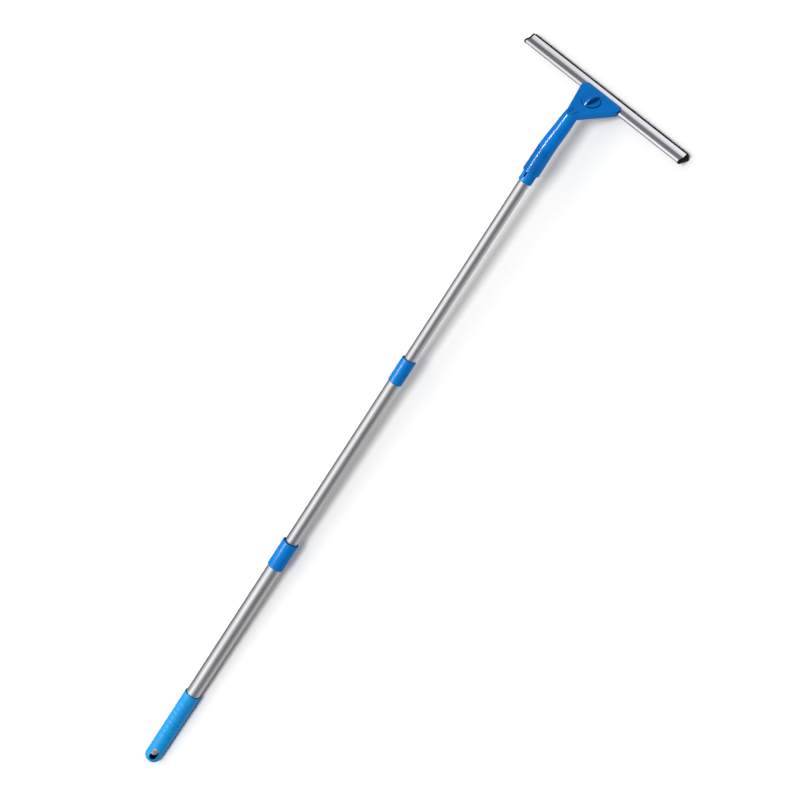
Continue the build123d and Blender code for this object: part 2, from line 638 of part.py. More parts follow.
def lower_jaw():
    """Stepped plate inside the skirt that carries the channel on its front shelf."""
    top = -JAW_TOP
    shelf = BULB_HEIGHT - BULB_RADIUS - FACE_CLEARANCE
    front = CHANNEL_FLOOR - JAW_SHELF_SHORT
    shelf_back = channel_point(JAW_SHELF_BACK, shelf)
    shelf_front = channel_point(front, shelf)
    under_back = channel_point(JAW_SHELF_BACK, shelf - JAW_THICKNESS)
    under_front = channel_point(front, shelf - JAW_THICKNESS)
    profile = polygon([
        (JAW_REAR, top),
        (JAW_STEP + JAW_THICKNESS, top),
        (JAW_STEP + JAW_THICKNESS, shelf_back[1]),
        shelf_back,
        shelf_front,
        under_front,
        under_back,
        (JAW_STEP, under_back[1]),
        (JAW_STEP, top - JAW_THICKNESS),
        (JAW_REAR, top - JAW_THICKNESS),
    ])
    jaw = across(SIDE * profile, -JAW_HALF_WIDTH, JAW_HALF_WIDTH)
    jaw &= plate_prism(offset(plate_outline(), amount=-SKIRT_WALL - JAW_SIDE_GAP), -LARGE, LARGE)
    jaw -= knob_disc(STUD_RADIUS + FACE_CLEARANCE, -LARGE, LARGE)
    depth = JAW_THICKNESS / 2 + JAW_OPENING
    ridge = Box(CROSS_PIN_LENGTH, JAW_RIDGE_WIDTH, depth)
    ridge = Pos(0, KNOB_POSITION, top - JAW_THICKNESS / 2 - depth / 2) * ridge
    return jaw + (ridge - knob_disc(STUD_RADIUS + JAW_RIDGE_GAP, -LARGE, LARGE))


# ---------------------------------------------------------------- blade
def channel_top_line(drop=0.0):
    """Points of the channel's gently hollow top, from the bulb to the nose."""
    return [
        (BULB_RADIUS, BULB_HEIGHT + BULB_RADIUS - drop),
        (DIP_POSITION, -DIP_DEPTH - drop),
        (CHANNEL_WIDTH, -drop),
    ]


def channel_profile():
    """Bulb with a bore at the back, hollow top sheet and short lower sheet."""
    centre = Pos(BULB_RADIUS, BULB_HEIGHT)
    upper = channel_top_line()
    lower = channel_top_line(CHANNEL_SHEET)
    flat = Vector(1, 0)
    rise = flat.rotate(Axis.Z, CHANNEL_NOSE_RISE)
    sheet = make_face([
        Spline(*upper, tangents=(flat, rise)),
        Line(upper[-1], lower[-1]),
        Spline(*reversed(lower), tangents=(-rise, -flat)),
        Line(lower[0], upper[0]),
    ])
    floor_height = BULB_HEIGHT - BULB_RADIUS
    floor_sheet = Pos(BULB_RADIUS, floor_height) * Rectangle(
        CHANNEL_FLOOR - BULB_RADIUS, BULB_WALL, align=(Align.MIN, Align.MIN))
    bulb = centre * Circle(BULB_RADIUS)
    return bulb + sheet + floor_sheet - centre * Circle(BULB_RADIUS - BULB_WALL)


def rubber_outline():
    """Points of the rubber in front of its web, from the web's top round to its bottom."""
    front = CHANNEL_WIDTH + RUBBER_FRONT
    inside = CHANNEL_WIDTH + RUBBER_NOSE_GAP
    heel = CHANNEL_FLOOR + RUBBER_HEEL
    return [
        (CHANNEL_FLOOR + RUBBER_THROAT, BEAD_HEIGHT),
        (CHANNEL_FLOOR + RUBBER_CREST, -DIP_DEPTH - CHANNEL_SHEET - RUNNING_CLEARANCE),
        (inside, -CHANNEL_SHEET - RUBBER_NOSE_GAP),
        (inside, -RUBBER_SHOULDER),
        (front, -RUBBER_SHOULDER),
        (front - RUBBER_WAIST, -RUBBER_WAIST_DOWN),
        (front + RUBBER_FLARE, -RUBBER_REACH),
        (front + RUBBER_FLARE - RUBBER_EDGE, -RUBBER_REACH),
        (CHANNEL_WIDTH - RUBBER_KNEE, -RUBBER_KNEE_DOWN),
        (heel, -RUBBER_HEEL_DOWN),
        (heel, BEAD_HEIGHT - WEB_DROP),
    ]


def rubber_profile():
    """Bead in the channel, a web through its throat and the lip that wipes."""
    lip = polygon(rubber_outline())
    web = Pos(BEAD_POSITION, BEAD_HEIGHT - WEB_DROP) * Rectangle(
        CHANNEL_FLOOR + WEB_OVERLAP - BEAD_POSITION, RUBBER_WEB, align=(Align.MIN, Align.CENTER))
    return lip + web + Pos(BEAD_POSITION, BEAD_HEIGHT) * Circle(BEAD_RADIUS)


def plug_profile():
    """The end plug's wedge: it covers the channel's end and the rubber's together."""
    centre = (BULB_RADIUS, BULB_HEIGHT)
    rubber = rubber_outline()
    front_top = rubber[4]
    edge_front = (rubber[6][0], rubber[6][1] + PLUG_SHORT)
    edge_back = (rubber[7][0], rubber[7][1] + PLUG_SHORT)
    reach = BULB_RADIUS + PLUG_SHELL
    body = polygon([
        (centre[0], centre[1] + reach),
        (DIP_POSITION, PLUG_SHELL - DIP_DEPTH),
        (CHANNEL_WIDTH + PLUG_SHELL, PLUG_SHELL),
        (front_top[0], front_top[1]),
        edge_front,
        edge_back,
        (centre[0], centre[1] - reach),
    ])
    return body + Pos(*centre) * Circle(reach)


def blade_channel():
    end = BLADE_LENGTH / 2 - END_PLUG
    return across(CHANNEL * channel_profile(), -end, end)


def rubber_blade():
    end = BLADE_LENGTH / 2 - END_PLUG
    return across(CHANNEL * rubber_profile(), -end, end)


def end_plug(side):
    """Black plug with a peg in the channel's bulb; side is 1 or -1."""
    inner = BLADE_LENGTH / 2 - END_PLUG
    outer = BLADE_LENGTH / 2
    plate = across(CHANNEL * plug_profile(), inner, outer)
    peg = CHANNEL * Pos(BULB_RADIUS, BULB_HEIGHT) * Circle(BULB_RADIUS - BULB_WALL)
    plug = plate + across(peg, inner - PLUG_PEG, inner)
    return plug if side > 0 else mirror(plug, about=Plane.YZ)


# ---------------------------------------------------------------- the whole squeegee
def pole_parts():
    """Grip, tubes, collars, locks and tip, in the pole's frame."""
    lower_end = MIDDLE_TUBE_START
    upper_end = UPPER_TUBE_START
    middle = MIDDLE_TUBE_DIAMETER
    upper = UPPER_TUBE_DIAMETER
    return {
        "end_grip": end_grip(),
        "outer_tube": tube(OUTER_TUBE_DIAMETER, GRIP_TUBE_START, OUTER_TUBE_TOP),
        "lower_collar": lower_collar(),
        "lower_lock_cam": lock_cam(middle, OUTER_TUBE_DIAMETER, lower_end),
        "lower_lock_spindle": lock_spindle(middle, lower_end),
        "lower_lock_pin": lock_pin(middle, lower_end),
        "middle_tube": pinned_tube(middle, lower_end, MIDDLE_TUBE_TOP),
        "upper_collar": upper_collar(),
        "upper_lock_cam": lock_cam(upper, middle, upper_end),
        "upper_lock_spindle": lock_spindle(upper, upper_end),
        "upper_lock_pin": lock_pin(upper, upper_end),
        "upper_tube": pinned_tube(upper, upper_end, UPPER_TUBE_TOP),
        "tip_adapter": tip_adapter(),
    }


def head_parts():
    """Head, clamp and blade; all but the head's moulding are made in the plate frame."""
    parts = {
        "knob_washer": knob_washer(),
        "clamp_knob": clamp_knob(),
        "clamp_stud": clamp_stud(),
        "clamp_cross_pin": cross_pin(),
        "clamp_spring_washer": spring_washer(),
        "lower_jaw": lower_jaw(),
        "blade_channel": blade_channel(),
        "rubber_blade": rubber_blade(),
        "right_end_plug": end_plug(1),
        "left_end_plug": end_plug(-1),
    }
    placed = {name: PLATE.location * shape for name, shape in parts.items()}
    placed["head_body"] = head_body()
    return placed


def rest_tilt():
    """Angle of the pole when the wiping edge and the rounded end of the grip touch the floor."""
    edge = PLATE.from_local_coords(CHANNEL.from_local_coords(Vector(*rubber_outline()[6], 0)))
    run = edge.Y - GRIP_END_RADIUS
    drop = -(edge.Z + GRIP_DIAMETER / 2 - GRIP_END_RADIUS)
    return degrees(acos(GRIP_END_RADIUS / hypot(run, drop)) - atan2(run, drop))


def lay_down(parts):
    """Tilt the pole and bring the middle of the footprint to the origin, on the floor."""
    tilt = Rot(rest_tilt(), 0, 0)
    box = Compound(children=[tilt * shape for shape in parts.values()]).bounding_box()
    middle = box.center()
    return Pos(-middle.X, -middle.Y, -box.min.Z) * tilt


PARTS = {**pole_parts(), **head_parts()}
PLACEMENT = lay_down(PARTS)

os.makedirs("parts", exist_ok=True)
for name, shape in PARTS.items():
    export_step(PLACEMENT * shape, f"parts/{name}.step")
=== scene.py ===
"""Looks of the window squeegee: a telescopic aluminium pole, a blue head and a rubber blade.

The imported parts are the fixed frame. Pieces whose looks need a finer form are built here in the
same places, from the same dimensions in millimetres, and stand for their CAD nodes. Two differ
from their nodes: the rubber's top land is wider, and the knob's stud ends inside the knob's disc.
"""

import json
import math

import bmesh
import bpy
from mathutils import Matrix, Vector


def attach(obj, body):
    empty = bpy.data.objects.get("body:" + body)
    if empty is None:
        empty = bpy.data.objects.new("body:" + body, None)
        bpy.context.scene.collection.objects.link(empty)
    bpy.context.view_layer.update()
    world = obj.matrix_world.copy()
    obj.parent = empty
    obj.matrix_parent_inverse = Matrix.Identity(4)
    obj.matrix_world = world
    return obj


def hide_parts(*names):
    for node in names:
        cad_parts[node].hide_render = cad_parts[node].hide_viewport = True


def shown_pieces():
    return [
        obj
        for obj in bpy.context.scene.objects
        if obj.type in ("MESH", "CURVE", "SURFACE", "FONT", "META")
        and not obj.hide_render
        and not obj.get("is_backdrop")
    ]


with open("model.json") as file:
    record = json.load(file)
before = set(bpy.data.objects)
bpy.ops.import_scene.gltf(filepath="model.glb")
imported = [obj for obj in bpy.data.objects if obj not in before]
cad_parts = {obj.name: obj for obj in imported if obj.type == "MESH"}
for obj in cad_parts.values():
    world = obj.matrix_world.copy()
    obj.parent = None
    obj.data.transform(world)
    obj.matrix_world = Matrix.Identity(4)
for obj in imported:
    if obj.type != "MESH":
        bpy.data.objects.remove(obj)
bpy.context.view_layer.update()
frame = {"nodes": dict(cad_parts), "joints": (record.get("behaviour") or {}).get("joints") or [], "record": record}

# ---------------------------------------------------------------- dimensions, in millimetres
MM = 0.001
CUT_REACH = 20.0                # how far a cutter reaches from the pole's axis

# The pole: pairs are where a piece starts and ends, from the grip's closed end.
OUTER_RADIUS, MIDDLE_RADIUS, UPPER_RADIUS = 12.5, 11.0, 9.5
TUBE_WALL = 1.0
TUBE_EDGE = 0.2
OUTER_TUBE = (27.0, 486.5)
MIDDLE_TUBE = (421.5, 869.5)
UPPER_TUBE = (814.5, 1231.5)
PIN_FROM_END = 11.0
PIN_RADIUS = 1.5

GRIP_LENGTH = 154.0
GRIP_RADIUS = 14.5
GRIP_END_RADIUS = 11.5
GRIP_WALL = 3.0
GRIP_TUBE_START = 27.0
GRIP_MOUTH_DEPTH = 2.5
GRIP_MOUTH_FLARE = 0.9
GRIP_MOUTH_LEAD = 10.0          # straight run into the mouth's rounding
GROOVES = 8
FIRST_GROOVE = 62.4
GROOVE_PITCH = 10.15
GROOVE_WIDTH = 3.6
GROOVE_DEPTH = 0.7
GROOVE_SPREAD = 1.15            # of the groove's width, for its soft shoulders
HANG_SLOT = (8.0, 33.0)
HANG_SLOT_REAR = (4.0, 33.0)
HANG_SLOT_WIDTH = 12.5
HANG_SLOT_TURN = 35.0           # degrees from the knob side

LOWER_COLLAR = (440.0, 493.5)
LOWER_COLLAR_RADIUS = 14.5
UPPER_COLLAR = (830.5, 876.5)
UPPER_COLLAR_RADIUS = 12.5
COLLAR_MOUTH = 3.0
COLLAR_RIM = 1.3
COLLAR_LIP = 4.0
SLIDING_CLEARANCE = 0.3

ADAPTER = (1224.5, 1290.5)
ADAPTER_RADIUS = 11.65
ADAPTER_WALL = 2.6
ADAPTER_NOSE = 8.0
ADAPTER_TAPER = 2.2
ADAPTER_SLOT = (1232.5, 1266.5)
ADAPTER_SLOT_WIDTH = 3.0
ADAPTER_SLOT_FROM = 5.0         # from the pole's axis, so that a slot cuts one side only
SPIGOT_LENGTH = 32.0
SPIGOT_WALL = 2.0
SPIGOT_HEAD = 2.0               # thickness of the ring over the tube's end

# The plate's frame: y runs along the plate from its root, z out of its top.
MOUTH_Y = 1242.0
PLATE_Y = 109.8
PLATE_Z = 1.7
PLATE_TILT = 54.0               # degrees that the plate dips below the pole
KNOB_POSITION = 49.0
KNOB_RADIUS = 14.5
KNOB_LEVELS = (-0.85, 1.55)     # bottom and top of the knob's disc
KNOB_EDGE = 0.45
KNOB_BORE_END = 1.0             # level where the stud and its blind bore end
FIN_LENGTH, FIN_WIDTH, FIN_HEIGHT = 31.0, 5.2, 8.0
FIN_CREST = 1.3                 # rounding along the fin's crest
FIN_OFFSET = 1.2                # of the fin's middle towards the blade
FIN_SUNK = 1.2                  # of the fin's foot below the disc's top
STUD_RADIUS = 3.0
STUD_CHAMFER = 0.5
CLAMP_PIN_LEVEL = -11.65        # of the cross pin's axis
CLAMP_PIN_RADIUS = 1.2

# The channel's frame: y runs forward from the channel's back, z up from the top of its nose.
CHANNEL_BACK = 68.6
CHANNEL_DROP = 5.7
CHANNEL_RISE = 13.4             # degrees
CHANNEL_WIDTH = 20.4
CHANNEL_SHEET = 1.4
CHANNEL_FLOOR = 11.4
DIP = (11.3, -1.57)
DIP_SLOPE = -0.1785
NOSE_SLOPE = 0.2493
NOSE_ROUNDING = 0.6
FLOOR_ROUNDING = 0.3
BULB_RADIUS = 3.4
BULB_HEIGHT = -2.6
BULB_WALL = 1.3
BULB_CENTRE = (BULB_RADIUS, BULB_HEIGHT)
SHEET_JOIN = 20.0               # where the sheet's underside runs into the bulb, in degrees round it
FLOOR_JOIN = -38.2              # where the floor's top does, likewise
BACK_END = -264.0               # where the bulb's back gives way to the top's curve, likewise
TOP_END = 1.2                   # the top's curve ends this far before the nose
NOSE_LEAD = 2.0                 # straight run into the nose's rounding
FLOOR_LEAD = 6.2                # straight run from here to the floor's end

# The black parts, in the same frame.
BLADE_HALF = 175.0
END_PLUG = 3.0
RAIL_HALF = BLADE_HALF - END_PLUG
RUBBER_TOP = -0.9
RUBBER_FRONT = 23.3
RUBBER_GAP = 0.3                # from the channel's nose
RUBBER_WAIST = (22.2, -10.0)
RUBBER_EDGE = (19.5, 23.1)      # back and front of the wiping edge
RUBBER_REACH = -15.3
RUBBER_KNEE = (17.0, -9.2)
HEEL_GAP = 0.5                  # from the channel's floor
HEEL_LOW = -6.4
WEB_TOP = ((12.6, -3.25), (14.6, -3.05))
WEB_FRONT = -1.7
WEB_BACK = 9.0
WEB_LOW = -4.45
BEAD = (8.3, -3.42)
BEAD_RADIUS = 1.0
CAP_SHELL = 0.35                # of the cap outside the channel
CAP_RIM = 0.7
CAP_FRONT = 22.1
CAP_LOW = -14.5
CAP_TOP_END = 1.0

# ---------------------------------------------------------------- places, from the frame
joints = {joint["name"]: joint for joint in frame["joints"]}
mounts = {mount["name"]: mount for mount in frame["record"]["mounts"]}


def columns(x_axis, y_axis, z_axis, origin, scale=1.0):
    """The matrix with these axes and this origin."""
    matrix = Matrix.Identity(4)
    for index, axis in enumerate((x_axis, y_axis, z_axis)):
        for row in range(3):
            matrix[row][index] = axis[row] * scale
    matrix.translation = origin
    return matrix


def pole_frame():
    """From millimetres in the pole's frame (Y along the pole, Z to the knob side) to metres."""
    along = Vector(joints["lower_slide"]["axis"]).normalized()
    across = Vector((1, 0, 0))
    slot_middle = sum(HANG_SLOT) / 2
    origin = Vector(mounts["hang_slot"]["pos_m"]) - along * slot_middle * MM
    return columns(across, along, across.cross(along), origin, MM)


def turn_x(degrees):
    return Matrix.Rotation(math.radians(degrees), 4, "X")


def across_at(place, y, z):
    """Axes for a cutter whose w runs along X, through this point of a frame."""
    return place @ Matrix.Translation((0, y, z)) @ Matrix.Rotation(math.radians(90), 4, "Y")


POLE = pole_frame()
PLATE = POLE @ Matrix.Translation((0, MOUTH_Y + PLATE_Y, PLATE_Z)) @ turn_x(-PLATE_TILT)
KNOB_AXIS = PLATE @ Matrix.Translation((0, KNOB_POSITION, 0)) @ turn_x(90)
CHANNEL = PLATE @ Matrix.Translation((0, CHANNEL_BACK, -CHANNEL_DROP)) @ turn_x(CHANNEL_RISE)


# ---------------------------------------------------------------- materials
def linear(red, green, blue):
    """Scene-linear colour of an sRGB colour from 0 to 255."""
    values = []
    for value in (red / 255, green / 255, blue / 255):
        values.append(value / 12.92 if value <= 0.04045 else ((value + 0.055) / 1.055) ** 2.4)
    return (*values, 1.0)


class Recipe:
    """A procedural material: a Principled shader with noise in its colour, roughness and bump."""

    def __init__(self, name, metallic=0.0, stretch=(1, 1, 1)):
        self.material = bpy.data.materials.new(name)
        self.material.use_nodes = True
        self.nodes = self.material.node_tree.nodes
        self.links = self.material.node_tree.links
        self.shader = self.nodes["Principled BSDF"]
        self.shader.inputs["Metallic"].default_value = metallic
        coordinates = self.nodes.new("ShaderNodeTexCoord")
        self.mapping = self.nodes.new("ShaderNodeMapping")
        self.mapping.inputs["Scale"].default_value = stretch
        self.links.new(coordinates.outputs["Object"], self.mapping.inputs["Vector"])
        self.height = None

    def noise(self, scale, detail=3.0, roughness=0.5, distortion=0.0):
        node = self.nodes.new("ShaderNodeTexNoise")
        node.inputs["Scale"].default_value = scale
        node.inputs["Detail"].default_value = detail
        node.inputs["Roughness"].default_value = roughness
        node.inputs["Distortion"].default_value = distortion
        self.links.new(self.mapping.outputs["Vector"], node.inputs["Vector"])
        return node.outputs["Fac"]

    def spread(self, value, low, high, start=0.3, end=0.7):
        """Map the noise's usual range to low..high."""
        node = self.nodes.new("ShaderNodeMapRange")
        node.inputs["From Min"].default_value = start
        node.inputs["From Max"].default_value = end
        node.inputs["To Min"].default_value = low
        node.inputs["To Max"].default_value = high
        self.links.new(value, node.inputs["Value"])
        return node.outputs["Result"]

    def colour(self, first, second, value, crevice_shade=1.0, reach=0.0025):
        """Mix two colours by a value, and paint shade into the crevices where its share is below 1."""
        node = self.nodes.new("ShaderNodeMix")
        node.data_type = "RGBA"
        node.inputs["A"].default_value = first
        node.inputs["B"].default_value = second
        self.links.new(value, node.inputs["Factor"])
        colour = node.outputs["Result"]
        if crevice_shade < 1.0:
            colour = self.paint_crevice_shade(colour, crevice_shade, reach)
        self.links.new(colour, self.shader.inputs["Base Color"])

    def paint_crevice_shade(self, colour, share, reach):
        """Painted shade: darken the colour to this share where other surfaces crowd it within this reach, as shade
        falls there.
        """
        near = self.nodes.new("ShaderNodeAmbientOcclusion")
        near.samples = 8
        near.inputs["Distance"].default_value = reach
        dark = self.nodes.new("ShaderNodeMix")
        dark.data_type = "RGBA"
        dark.blend_type = "MULTIPLY"
        dark.inputs["Factor"].default_value = 1.0
        self.links.new(colour, dark.inputs["A"])
        self.links.new(self.spread(near.outputs["AO"], share, 1.0, 0.45, 0.95), dark.inputs["B"])
        return dark.outputs["Result"]

    def rough(self, value):
        self.links.new(value, self.shader.inputs["Roughness"])

    def bump(self, value, distance):
        node = self.nodes.new("ShaderNodeBump")
        node.inputs["Distance"].default_value = distance
        node.inputs["Strength"].default_value = 1.0
        self.links.new(value, node.inputs["Height"])
        if self.height is not None:
            self.links.new(self.height, node.inputs["Normal"])
        self.height = node.outputs["Normal"]
        self.links.new(self.height, self.shader.inputs["Normal"])

    def rounded_edges(self, radius):
        """Soft highlights on the moulding's edges."""
        node = self.nodes.new("ShaderNodeBevel")
        node.samples = 6
        node.inputs["Radius"].default_value = radius
        self.height = node.outputs["Normal"]
        self.links.new(self.height, self.shader.inputs["Normal"])

    def set(self, **values):
        """Constants on the shader's sockets, named with _ for each space."""
        for name, value in values.items():
            self.shader.inputs[name.replace("_", " ")].default_value = value


def plastic(name, colour, shade, roughness, grain,
            edge=0.0, specular=0.4, crevice_shade=1.0, coat=0.0, reach=0.0025):
    """Moulded plastic with slight flow marks, fine grain and handled patches, and painted shade in its crevices.
    """
    recipe = Recipe(name)
    recipe.set(Specular_IOR_Level=specular, Coat_Weight=coat, Coat_Roughness=0.15)
    if edge:
        recipe.rounded_edges(edge)
    flow = recipe.spread(recipe.noise(scale=26.0, detail=5.0, roughness=0.6, distortion=0.4), 0.0, 1.0)
    recipe.colour(colour, shade, flow, crevice_shade, reach)
    recipe.rough(recipe.spread(recipe.noise(scale=70.0, detail=4.0), roughness - 0.04, roughness + 0.05))
    recipe.bump(recipe.noise(scale=2600.0, detail=2.0), grain)
    return recipe.material


def metal(name, colour, shade, roughness, stretch, lines):
    """Faintly cloudy metal; stretched noise gives it fine lines along its length."""
    recipe = Recipe(name, 1.0, stretch)
    clouds = recipe.spread(recipe.noise(scale=900.0, detail=4.0, roughness=0.65), 0.0, 1.0)
    recipe.colour(colour, shade, clouds)
    recipe.rough(recipe.spread(recipe.noise(scale=420.0), roughness - 0.05, roughness + 0.06))
    recipe.bump(recipe.noise(scale=3200.0, detail=2.0), lines)
    return recipe.material


def rubber(name, colour, shade, roughness):
    """Matt rubber with dusty patches drawn out along the blade."""
    recipe = Recipe(name, 0.0, (0.3, 1.0, 1.0))
    recipe.set(Specular_IOR_Level=0.05)
    dust = recipe.spread(recipe.noise(scale=60.0, detail=6.0, roughness=0.65), 0.0, 1.0)
    recipe.colour(colour, shade, dust)
    recipe.rough(recipe.spread(recipe.noise(scale=180.0, detail=4.0), roughness - 0.08, roughness + 0.08))
    recipe.bump(recipe.noise(scale=1900.0), 0.00003)
    return recipe.material


# Lengths in these recipes (grain, edge, lines and reach) are in metres.
# Where the crevice share is below 1, shade is painted into grooves, gaps and inner corners within reach.
GRIP = plastic("grip_blue", linear(8, 152, 222), linear(4, 144, 214), roughness=0.5,
               grain=0.00003, edge=0.0004, specular=0.12, crevice_shade=0.4)
COLLAR = plastic("collar_blue", linear(0, 121, 203), linear(0, 115, 196), roughness=0.4,
                 grain=0.000004, specular=0.06, crevice_shade=0.7, coat=0.06)
HEAD = plastic("head_blue", linear(0, 107, 186), linear(0, 101, 179), roughness=0.22,
               grain=0.000003, edge=0.0005, specular=0.05, crevice_shade=0.58, coat=0.14)
# The knob's painted shade reaches 7 mm and falls to a quarter, darkening the fin's sides and foot.
KNOB = plastic("knob_blue", linear(0, 104, 184), linear(0, 98, 177), roughness=0.22,
               grain=0.000003, edge=0.0005, specular=0.05, crevice_shade=0.25, coat=0.14, reach=0.007)
# Painted shade for the inside of the grip's hollow, whose plastic is the grip's blue.
HOLLOW_SHADE = plastic("grip_bore", linear(10, 30, 48), linear(6, 24, 40), roughness=0.6,
               grain=0.00002, specular=0.1)
LOCK = plastic("lock_white", linear(208, 208, 204), linear(196, 196, 190), roughness=0.5,
               grain=0.00002)
BLACK = plastic("plug_black", linear(17, 17, 19), linear(12, 12, 14), roughness=0.5,
                grain=0.00003, edge=0.0003, specular=0.05)
TUBE = metal("tube_aluminium", linear(232, 232, 236), linear(224, 224, 228), roughness=0.36,
             stretch=(1.0, 0.02, 1.0), lines=0.00001)
RAIL = metal("channel_aluminium", linear(232, 229, 237), linear(225, 222, 230), roughness=0.22,
             stretch=(0.02, 1.0, 1.0), lines=0.00001)
STEEL = metal("zinc_steel", linear(188, 188, 186), linear(170, 170, 168), roughness=0.32,
              stretch=(1, 1, 1), lines=0.00001)
RUBBER = rubber("blade_rubber", linear(9, 9, 11), linear(14, 14, 17), roughness=0.6)
BLUES = (GRIP, COLLAR, HEAD, KNOB)


# ---------------------------------------------------------------- mesh helpers
def rounded(points, steps):
    """A closed outline from (u, v) or (u, v, radius) corners, with true arcs at the radii."""
    outline = []
    count = len(points)
    for index, point in enumerate(points):
        corner = Vector(point[:2])
        radius = point[2] if len(point) > 2 else 0.0
        if radius == 0.0:
            outline.append(tuple(corner))
            continue
        before = (Vector(points[index - 1][:2]) - corner).normalized()
        after = (Vector(points[(index + 1) % count][:2]) - corner).normalized()
        half = before.angle(after) / 2
        centre = corner + (before + after).normalized() * (radius / math.sin(half))
        first = corner + before * (radius / math.tan(half)) - centre
        last = corner + after * (radius / math.tan(half)) - centre
        sweep = first.angle_signed(last)
        for step in range(steps + 1):
            arm = first.copy()
            arm.rotate(Matrix.Rotation(-sweep * step / steps, 2))
            outline.append(tuple(centre + arm))
    return outline


def arc(centre, radius, start, end, steps):
    """Points of an arc between two angles in degrees, both ends among them."""
    points = []
    for step in range(steps + 1):
        angle = math.radians(start + (end - start) * step / steps)
        points.append((centre[0] + radius * math.cos(angle), centre[1] + radius * math.sin(angle)))
    return points


def circle(radius):
    """A closed outline of 32 points about the origin."""
    return arc((0, 0), radius, 0, 348.75, steps=31)


def add_object(name, data):
    """An object of the scene with this mesh, light or camera."""
    added = bpy.data.objects.new(name, data)
    bpy.context.scene.collection.objects.link(added)
    return added


def solid_object(name, vertices, faces, matrix, weld=False):
    """A closed mesh whose faces look outwards; the matrix takes its vertices to metres."""
    mesh = bpy.data.meshes.new(name)
    mesh.from_pydata([matrix @ Vector(vertex) for vertex in vertices], [], faces)
    work = bmesh.new()
    work.from_mesh(mesh)
    if weld:
        bmesh.ops.remove_doubles(work, verts=work.verts, dist=1e-7)
    bmesh.ops.recalc_face_normals(work, faces=work.faces)
    work.to_mesh(mesh)
    work.free()
    return add_object(name, mesh)


def finish_mesh(name, vertices, faces, matrix, material, body, nodes, sharp):
    """A piece of the tool that rides on a body and stands for CAD nodes."""
    piece = solid_object(name, vertices, faces, matrix, weld=True)
    piece.data.materials.append(material)
    smooth(piece, sharp)
    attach(piece, body)
    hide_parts(*nodes)
    return piece


def smooth(piece, sharp=35.0):
    """Shade smooth, with edges sharper than this angle left sharp."""
    piece.data.shade_smooth()
    piece.data.set_sharp_from_angle(angle=math.radians(sharp))


def lathe_mesh(profile, segments):
    """Rings of a profile of (radius, y); a closed loop, or open where it ends on the axis."""
    vertices, rings, faces = [], [], []
    for radius, y in profile:
        if radius < 1e-6:
            rings.append([len(vertices)])
            vertices.append((0.0, y, 0.0))
            continue
        rings.append(list(range(len(vertices), len(vertices) + segments)))
        for step in range(segments):
            angle = 2 * math.pi * step / segments
            vertices.append((radius * math.sin(angle), y, radius * math.cos(angle)))
    pairs = list(zip(rings, rings[1:]))
    if len(rings[0]) > 1 and len(rings[-1]) > 1:
        pairs.append((rings[-1], rings[0]))
    for low, high in pairs:
        for step in range(segments):
            following = (step + 1) % segments
            if len(low) == 1 and len(high) == 1:
                break
            if len(low) == 1:
                faces.append((low[0], high[step], high[following]))
            elif len(high) == 1:
                faces.append((low[step], low[following], high[0]))
            else:
                faces.append((low[step], low[following], high[following], high[step]))
    return vertices, faces


def lathe(name, profile, material, body, nodes, segments, sharp=35.0, axis=POLE):
    """A piece turned about the y axis of a frame, the pole's if none is given."""
    vertices, faces = lathe_mesh(profile, segments)
    return finish_mesh(name, vertices, faces, axis, material, body, nodes, sharp)


def prism_mesh(stations):
    """Outlines of (y, z) joined along x, from stations of (x, outline)."""
    vertices, faces = [], []
    count = len(stations[0][1])
    for x, shape in stations:
        vertices += [(x, y, z) for y, z in shape]
    for station in range(len(stations) - 1):
        base = station * count
        for index in range(count):
            following = (index + 1) % count
            faces.append((base + index, base + following, base + count + following, base + count + index))
    last = (len(stations) - 1) * count
    faces.append(tuple(reversed(range(count))))
    faces.append(tuple(range(last, last + count)))
    return vertices, faces


def cut(piece, cutters, operation="DIFFERENCE"):
    """Cut solids out of a piece, or unite them with it, and keep the result as its mesh."""
    for cutter in cutters:
        modifier = piece.modifiers.new("cut", "BOOLEAN")
        modifier.operation = operation
        modifier.solver = "EXACT"
        modifier.object = cutter
    keep_evaluated(piece)
    for cutter in cutters:
        bpy.data.objects.remove(cutter)


def keep_evaluated(piece):
    """Make the piece's modifiers part of its mesh."""
    bpy.context.view_layer.update()
    graph = bpy.context.evaluated_depsgraph_get()
    mesh = bpy.data.meshes.new_from_object(piece.evaluated_get(graph))
    piece.modifiers.clear()
    piece.data = mesh


def cutter_prism(outline, low, high, matrix):
    """A prism of an outline of (u, v), from w = low to high; the matrix takes (u, v, w) to metres."""
    count = len(outline)
    vertices = [(u, v, low) for u, v in outline] + [(u, v, high) for u, v in outline]
    faces = [tuple(reversed(range(count))), tuple(range(count, 2 * count))]
    for index in range(count):
        following = (index + 1) % count
        faces.append((index, following, count + following, count + index))
    return solid_object("cutter", vertices, faces, matrix)


def stadium(length, width, steps):
    """An outline with round ends, long in v, about the origin."""
    half = (length - width) / 2
    radius = width / 2
    outline = []
    for side, start in ((1, 0.0), (-1, math.pi)):
        for step in range(steps + 1):
            angle = start + math.pi * step / steps
            outline.append((radius * math.cos(angle), side * half + radius * math.sin(angle)))
    return outline


def around_pole(degrees, y):
    """Axes for a cutter whose w points out of the pole, turned from the knob side towards +X."""
    return POLE @ Matrix.Rotation(math.radians(degrees), 4, "Y") @ Matrix.Translation((0, y, 0))


# ---------------------------------------------------------------- pole
def groove_points(y):
    """A soft round-bottomed groove in the grip's side."""
    steps = 8
    points = []
    for step in range(steps + 1):
        share = step / steps
        depth = GROOVE_DEPTH * (0.5 - 0.5 * math.cos(2 * math.pi * share))
        points.append((GRIP_RADIUS - depth, y + (share - 0.5) * GROOVE_WIDTH * GROOVE_SPREAD))
    return points


